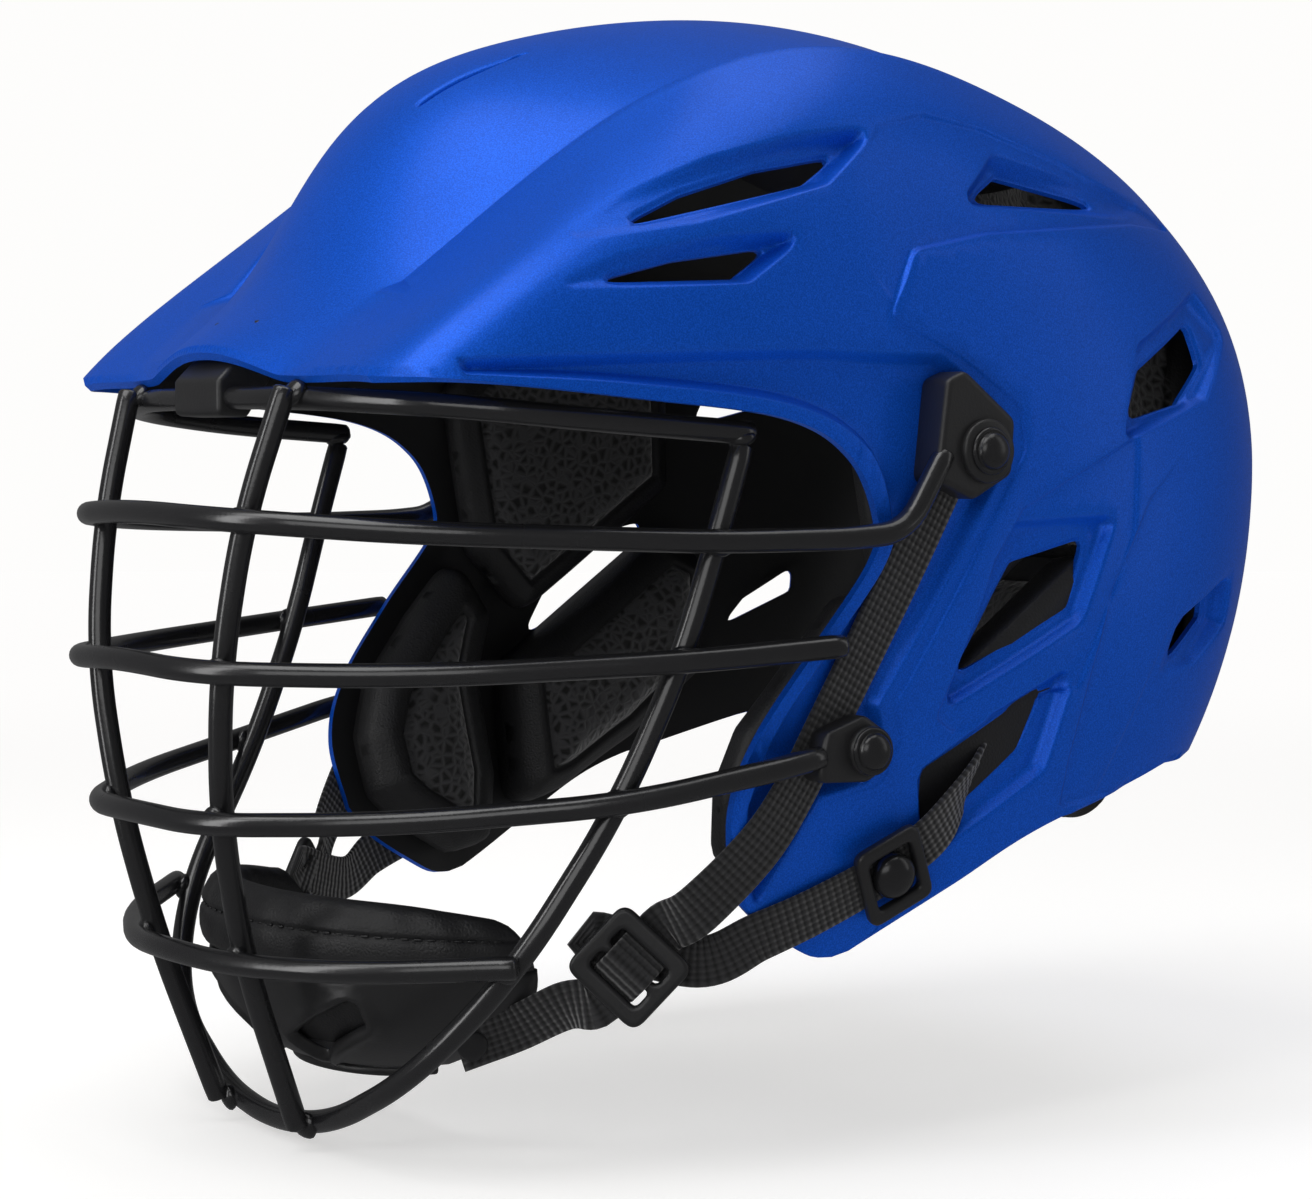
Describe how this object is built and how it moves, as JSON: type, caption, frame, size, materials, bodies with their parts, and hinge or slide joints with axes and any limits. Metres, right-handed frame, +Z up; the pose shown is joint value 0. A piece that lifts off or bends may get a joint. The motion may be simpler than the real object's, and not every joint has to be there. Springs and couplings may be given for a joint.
{
  "type": "lacrosse helmet",
  "caption": "Field lacrosse helmet with a blue ventilated shell and visor, black wire face mask, foam pads and a padded chin cup on adjustable webbing straps.",
  "frame": {"origin": "centre of the wearer's head, midway between the temples, on the helmet's middle plane", "axes": "+X to the wearer's left, -Y to the front, +Z up as worn"},
  "size_m": [0.2468, 0.3359, 0.2957],
  "materials": {
    "shell": "satin blue with a fine grain",
    "mask_wire": "black powder coat with a satin gloss",
    "clip": "black moulded plastic",
    "bolt": "black oxide, domed",
    "nut": "plain steel",
    "buckle": "black moulded plastic",
    "snap_cap": "black domed cap",
    "stud": "black lacquered metal",
    "chin_shell": "black moulded plastic",
    "chin_lining": "black padded leather cloth",
    "webbing": "black woven webbing",
    "padding": "black foam under knitted mesh"
  },
  "bodies": {
    "helmet": {"adjuster_left": "buckle", "adjuster_right": "buckle", "brow_clip": "clip", "crown_pad": "padding", "ear_pad_left": "padding", "ear_pad_right": "padding", "front_pad": "padding", "jaw_pad_left": "padding", "jaw_pad_right": "padding", "lower_bolt_left": "bolt", "lower_bolt_right": "bolt", "lower_clip_left": "clip", "lower_clip_right": "clip", "lower_nut_left": "nut", "lower_nut_right": "nut", "lower_strap_left": "webbing", "lower_strap_right": "webbing", "mask_bar_1": "mask_wire", "mask_bar_2": "mask_wire", "mask_bar_3": "mask_wire", "mask_bar_4": "mask_wire", "mask_rail": "mask_wire", "mask_top_bar": "mask_wire", "mask_upright_left": "mask_wire", "mask_upright_right": "mask_wire", "nape_pad": "padding", "rear_pad": "padding", "shell": "shell", "snap_frame_left": "buckle", "snap_frame_right": "buckle", "snap_stud_left": "stud", "snap_stud_right": "stud", "temple_pad_left": "padding", "temple_pad_right": "padding", "upper_bolt_left": "bolt", "upper_bolt_right": "bolt", "upper_clip_left": "clip", "upper_clip_right": "clip", "upper_nut_left": "nut", "upper_nut_right": "nut", "upper_strap_left": "webbing", "upper_strap_right": "webbing"},
    "chin_piece": {"chin_cup": "chin_shell", "chin_pad": "chin_lining", "chin_rivet_left": "stud", "chin_rivet_right": "stud", "chin_strap_left": "webbing", "chin_strap_right": "webbing"},
    "cap_left": {"snap_cap_left": "snap_cap"},
    "cap_right": {"snap_cap_right": "snap_cap"}
  },
  "joints": [
    {"name": "chin_swing", "type": "hinge", "parent": "helmet", "child": "chin_piece", "pos_m": [0, -0.0882, -0.0889], "axis": [-1, 0, 0], "range_deg": [0, 12]},
    {"name": "snap_left", "type": "slide", "parent": "helmet", "child": "cap_left", "axis": [0.9684, 0, -0.2496], "range_m": [0, 0.006]},
    {"name": "snap_right", "type": "slide", "parent": "helmet", "child": "cap_right", "axis": [-0.9684, 0, -0.2496], "range_m": [0, 0.006]}
  ]
}
